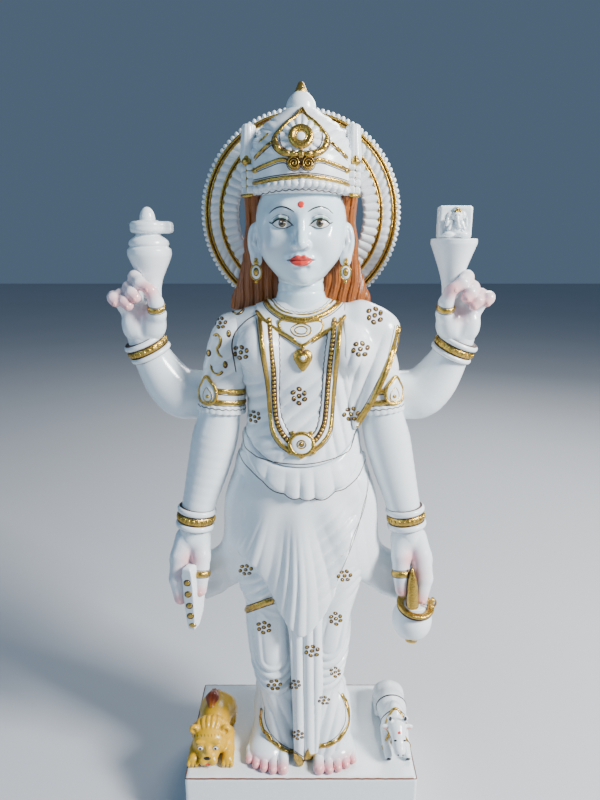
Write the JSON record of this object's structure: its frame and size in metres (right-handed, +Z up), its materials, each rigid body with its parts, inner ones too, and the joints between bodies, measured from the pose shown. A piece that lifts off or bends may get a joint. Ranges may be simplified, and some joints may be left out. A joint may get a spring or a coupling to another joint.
{
  "type": "hindu deity statue",
  "caption": "Painted white marble statue of a standing four-armed goddess with a crown and halo ring, on a plinth with a lion and a bull at the feet.",
  "frame": {"origin": "centre of the plinth's underside, on the surface it stands on", "axes": "+Z up, the figure faces -Y, its right side is at -X"},
  "size_m": [0.294, 0.112, 0.61],
  "materials": {
    "white_marble": "white marble, softly polished",
    "polished_skin_marble": "white marble with a cool tint, high polish",
    "gilding": "gold paint over carved marble relief, with dark outlines",
    "hair_paint": "marble painted orange brown",
    "lion_paint": "marble painted yellow",
    "steel_dowel": "plain steel rod"
  },
  "bodies": {
    "root": {"plinth": "white_marble", "lion": "lion_paint", "bull": "white_marble", "right_leg": "white_marble", "right_foot": "polished_skin_marble", "right_leg_dowel": "steel_dowel", "left_leg": "white_marble", "left_foot": "polished_skin_marble", "left_leg_dowel": "steel_dowel", "hip_wrap": "white_marble", "apron": "white_marble", "belly_roll": "white_marble", "centre_pleat": "white_marble", "thigh_band": "gilding", "right_sash": "white_marble", "left_sash": "white_marble", "torso": "white_marble", "dupatta": "white_marble", "right_upper_arm": "white_marble", "right_armlet": "gilding", "right_forearm": "polished_skin_marble", "left_upper_arm": "white_marble", "left_armlet": "gilding", "left_forearm": "polished_skin_marble", "collar_necklace": "gilding", "long_necklace": "gilding", "long_necklace_medallion": "gilding", "pendant": "gilding", "rosary_strand": "white_marble", "right_hand": "polished_skin_marble", "left_hand": "polished_skin_marble", "right_bangles": "gilding", "left_bangles": "gilding", "water_pot": "white_marble", "water_pot_rim_and_spout": "gilding", "right_rear_arm": "polished_skin_marble", "right_rear_arm_dowel": "steel_dowel", "right_rear_bangles": "gilding", "right_rear_hand": "polished_skin_marble", "right_lotus_cup": "white_marble", "left_rear_arm": "polished_skin_marble", "left_rear_arm_dowel": "steel_dowel", "left_rear_bangles": "gilding", "left_rear_hand": "polished_skin_marble", "left_lotus_cup": "white_marble", "linga_on_base": "white_marble", "relief_block": "white_marble", "neck": "polished_skin_marble", "head": "polished_skin_marble", "hair": "hair_paint", "right_earring": "gilding", "left_earring": "gilding", "crown_body": "white_marble", "crown_band": "gilding", "crown_medallion": "gilding", "crown_finial": "white_marble", "halo_plate": "white_marble", "halo_bead_rim": "white_marble"}
  },
  "joints": []
}
